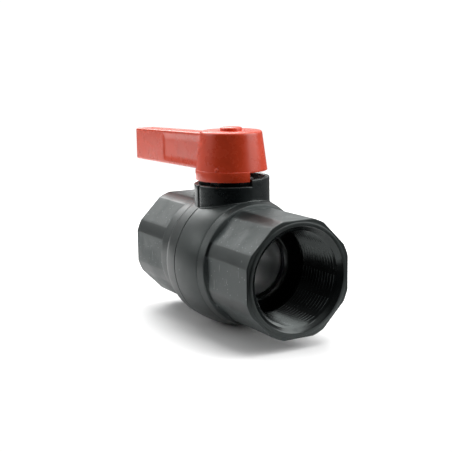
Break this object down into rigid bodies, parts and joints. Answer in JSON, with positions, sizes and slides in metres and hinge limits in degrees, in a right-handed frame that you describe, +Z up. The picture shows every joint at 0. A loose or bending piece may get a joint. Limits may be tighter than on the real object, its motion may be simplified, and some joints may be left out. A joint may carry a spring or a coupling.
{
  "type": "seacock valve",
  "caption": "Plastic quarter-turn seacock: a ball valve body with octagonal threaded sockets, a stop collar on top and an orange-red lever handle.",
  "frame": {"origin": "where the pipe axis crosses the stem axis, at the middle of the ball", "axes": "+X along the pipe towards the front socket, +Z up along the stem, the lever along -X when the valve is open"},
  "size_m": [0.1632, 0.0676, 0.1011],
  "materials": {
    "body_plastic": "moulded glass-filled plastic, dark grey, slightly green, semi-gloss, with fine specks",
    "ball_plastic": "moulded dark grey plastic, smooth and polished where the seats run",
    "stem_plastic": "moulded glass-filled plastic, dark grey",
    "seat_plastic": "turned dark grey filled fluoropolymer, waxy",
    "seal_rubber": "black moulded rubber",
    "handle_plastic": "moulded orange-red plastic, satin",
    "cap_plastic": "moulded orange-red plastic, satin",
    "screw_steel": "stainless steel",
    "insert_brass": "turned brass"
  },
  "bodies": {
    "body": {"body_front": "body_plastic", "body_rear": "body_plastic", "seat_front": "seat_plastic", "seat_rear": "seat_plastic", "seat_oring_front": "seal_rubber", "seat_oring_rear": "seal_rubber", "stem_dust_seal": "seal_rubber"},
    "handle": {"handle": "handle_plastic", "handle_screw": "screw_steel", "handle_screw_washer": "screw_steel", "handle_cap": "cap_plastic", "stem": "stem_plastic", "stem_insert": "insert_brass", "stem_thrust_washer": "seat_plastic", "stem_oring_lower": "seal_rubber", "stem_oring_upper": "seal_rubber"},
    "ball": {"ball": "ball_plastic"}
  },
  "joints": [
    {"name": "handle_turn", "type": "hinge", "parent": "body", "child": "handle", "pos_m": [0, 0, 0.045], "axis": [0, 0, -1], "range_deg": [0, 90]},
    {"name": "ball_turn", "type": "hinge", "parent": "body", "child": "ball", "pos_m": [0, 0, 0], "axis": [0, 0, -1], "range_deg": [0, 90]}
  ],
  "couplings": [
    {"joint": "ball_turn", "follows": "handle_turn", "ratio": 1}
  ]
}
